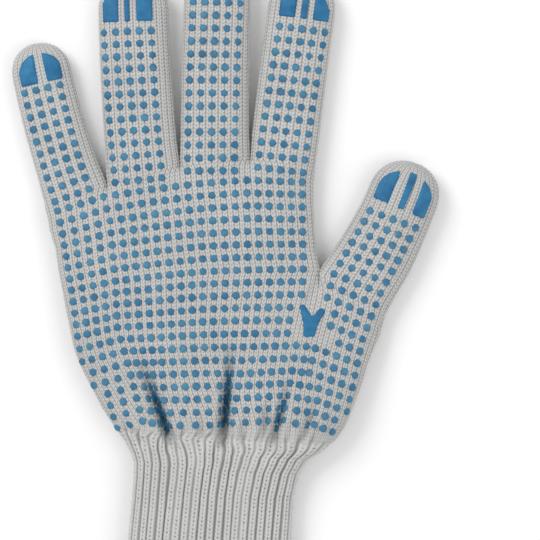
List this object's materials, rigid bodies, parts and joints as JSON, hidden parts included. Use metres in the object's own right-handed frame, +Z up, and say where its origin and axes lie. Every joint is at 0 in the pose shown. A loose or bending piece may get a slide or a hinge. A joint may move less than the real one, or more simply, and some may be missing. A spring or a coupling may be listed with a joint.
{
  "type": "cotton work glove",
  "caption": "Seamless knitted cotton work glove for the right hand, lying palm up, with a dotted grip palm, fingertip pads, a ribbed cuff and an overlocked hem.",
  "frame": {"origin": "middle of the glove's box in plan, on the surface that it lies on", "axes": "+Z up out of the printed palm, +Y from the cuff to the fingertips, +X to the thumb side"},
  "size_m": [0.1708, 0.2574, 0.0169],
  "materials": {
    "knit": "off-white knitted cotton, matt",
    "hem_thread": "blue overlock thread, matt",
    "print": "blue soft PVC print, satin"
  },
  "bodies": {
    "root": {"palm_body": "knit", "little_finger": "knit", "ring_finger": "knit", "middle_finger": "knit", "index_finger": "knit", "thumb": "knit", "rib_cuff": "knit", "overlock_hem": "hem_thread", "little_pad_1": "print", "little_pad_2": "print", "ring_pad_1": "print", "ring_pad_2": "print", "ring_pad_3": "print", "middle_pad_1": "print", "middle_pad_2": "print", "middle_pad_3": "print", "index_pad_1": "print", "index_pad_2": "print", "index_pad_3": "print", "thumb_pad_1": "print", "thumb_pad_2": "print", "thumb_pad_3": "print", "thumb_crotch_patch": "print"}
  },
  "joints": []
}
